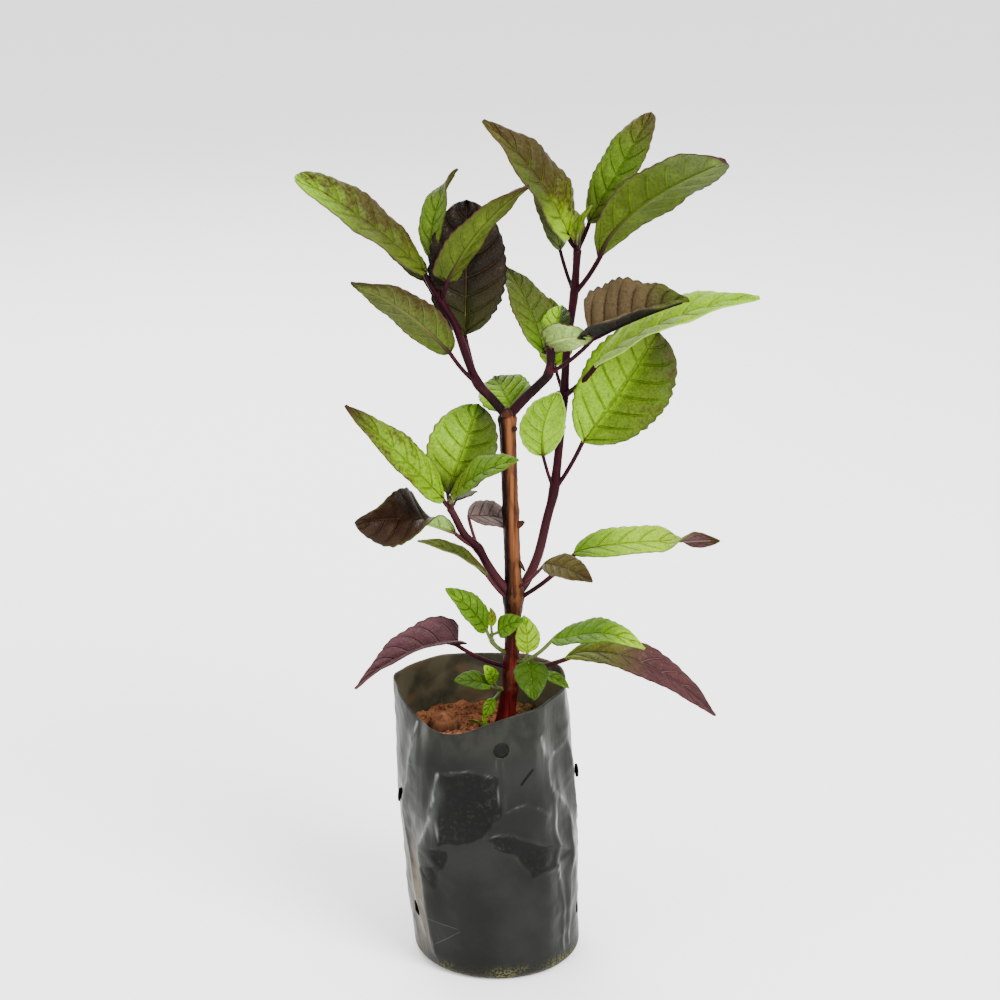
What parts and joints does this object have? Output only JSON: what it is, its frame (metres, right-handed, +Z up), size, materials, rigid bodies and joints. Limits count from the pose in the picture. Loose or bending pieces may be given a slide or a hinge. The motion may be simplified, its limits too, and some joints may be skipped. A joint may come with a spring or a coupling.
{
  "type": "potted holy basil plant",
  "caption": "Young holy basil plant with a forked woody trunk, purple stems and toothed leaves, in a black polythene nursery bag of red soil.",
  "frame": {"origin": "centre of the bag's flat base, on the surface it stands on", "axes": "+Z up; -Y towards the side the bag's rim dips on, where the plant is seen from; +X to the right from there, the bag leans towards -X"},
  "size_m": [0.1613, 0.0674, 0.3211],
  "materials": {
    "polythene_film": "satin",
    "soil": "matte",
    "bark": "matte",
    "young_stem": "satin",
    "green_leaf": "satin",
    "purple_leaf": "satin"
  },
  "bodies": {
    "root": {"polybag": "polythene_film", "soil": "soil", "trunk": "bark", "top_left_stem": "green_leaf", "top_right_stem": "green_leaf", "tall_stem": "green_leaf", "middle_left_stem": "green_leaf", "base_left_shoot": "green_leaf", "base_right_shoot": "green_leaf", "low_shoot": "green_leaf", "long_leaf_right": "green_leaf", "fork_leaf": "green_leaf", "under_leaf": "green_leaf", "purple_leaf_left": "purple_leaf", "purple_leaf_right": "purple_leaf", "small_leaf_front": "purple_leaf"}
  },
  "joints": []
}
